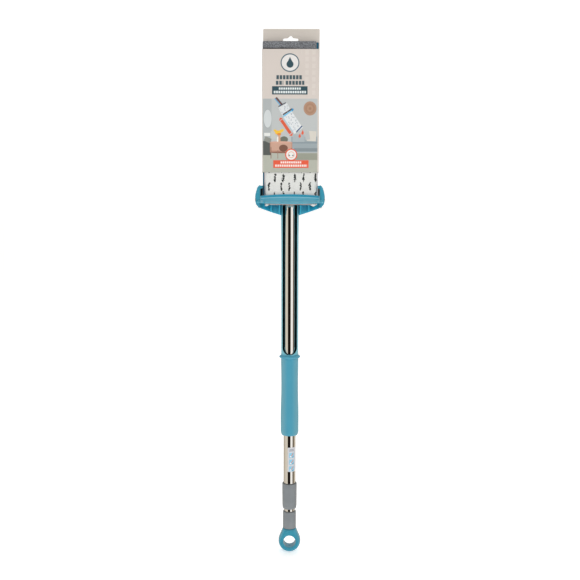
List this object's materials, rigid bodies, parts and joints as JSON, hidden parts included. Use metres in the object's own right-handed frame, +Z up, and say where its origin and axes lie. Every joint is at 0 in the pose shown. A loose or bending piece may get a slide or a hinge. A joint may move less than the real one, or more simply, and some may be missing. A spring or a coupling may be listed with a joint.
{
  "type": "self-wringing flat mop",
  "caption": "Flat microfibre mop with a telescopic tube handle, a wringer that slides over the head, a waisted grip, a hang eye and a card sleeve on the head.",
  "frame": {"origin": "centre of the hang eye's hole at the handle's end", "axes": "+Z up the handle to the mop head, -Y the mopping face, +X to the right seen from the mopping face"},
  "size_m": [0.1376, 0.0753, 1.07],
  "materials": {
    "teal_shell": "glossy moulded plastic",
    "teal_eye": "moulded plastic",
    "soft_grip": "matte soft-touch grip",
    "plate_teal": "dark moulded plastic",
    "grey_plastic": "satin moulded plastic",
    "chrome_tube": "polished steel tube",
    "white_plastic": "plain acetal",
    "black_rubber": "matte",
    "steel": "plated",
    "pad_white": "short microfibre pile",
    "pad_felt": "thin felt",
    "terry_grey": "grey terry loop",
    "card_print": "printed coated card",
    "label_paper": "glossy sticker"
  },
  "bodies": {
    "handle_end": {"hang_eye": "teal_eye", "end_sleeve": "grey_plastic", "inner_tube": "chrome_tube", "lock_plug": "white_plastic"},
    "lock": {"lock_expander": "white_plastic", "friction_ring": "black_rubber"},
    "pole": {"outer_tube": "chrome_tube", "twist_collar": "grey_plastic", "collar_bush": "white_plastic", "tube_label": "label_paper", "swivel_plug": "plate_teal", "plug_rivet": "steel", "swivel_washer": "white_plastic", "swivel_screw": "steel"},
    "head": {"swivel_yoke": "plate_teal", "hinge_pin": "steel", "hinge_bracket": "plate_teal", "bracket_screws": "steel", "head_plate": "plate_teal", "pad_backing": "pad_felt", "pad_pile": "pad_white", "near_pocket": "pad_felt", "far_pocket": "terry_grey"},
    "wringer": {"wringer_frame": "teal_shell", "front_bar": "teal_shell", "scraper_lip": "black_rubber", "bar_screws": "steel", "wringer_channel": "teal_shell", "slide_sleeve": "teal_shell", "grip": "soft_grip", "lower_bush": "white_plastic", "upper_bush": "white_plastic"},
    "card": {"card_sleeve": "card_print"}
  },
  "joints": [
    {"name": "lock_twist", "type": "hinge", "parent": "handle_end", "child": "lock", "pos_m": [0, 0, 0.55], "axis": [0, 0, 1], "range_deg": [0, 120]},
    {"name": "pole_extend", "type": "slide", "parent": "lock", "child": "pole", "axis": [0, 0, 1], "range_m": [0, 0.38]},
    {"name": "head_swivel", "type": "hinge", "parent": "pole", "child": "head", "pos_m": [0, 0, 0.845], "axis": [0, 0, 1], "continuous": true},
    {"name": "wringer_slide", "type": "slide", "parent": "head", "child": "wringer", "axis": [0, 0, 1], "range_m": [-0.098, 0.301]},
    {"name": "card_slide", "type": "slide", "parent": "head", "child": "card", "axis": [0, 0, 1], "range_m": [0, 0.34]}
  ]
}
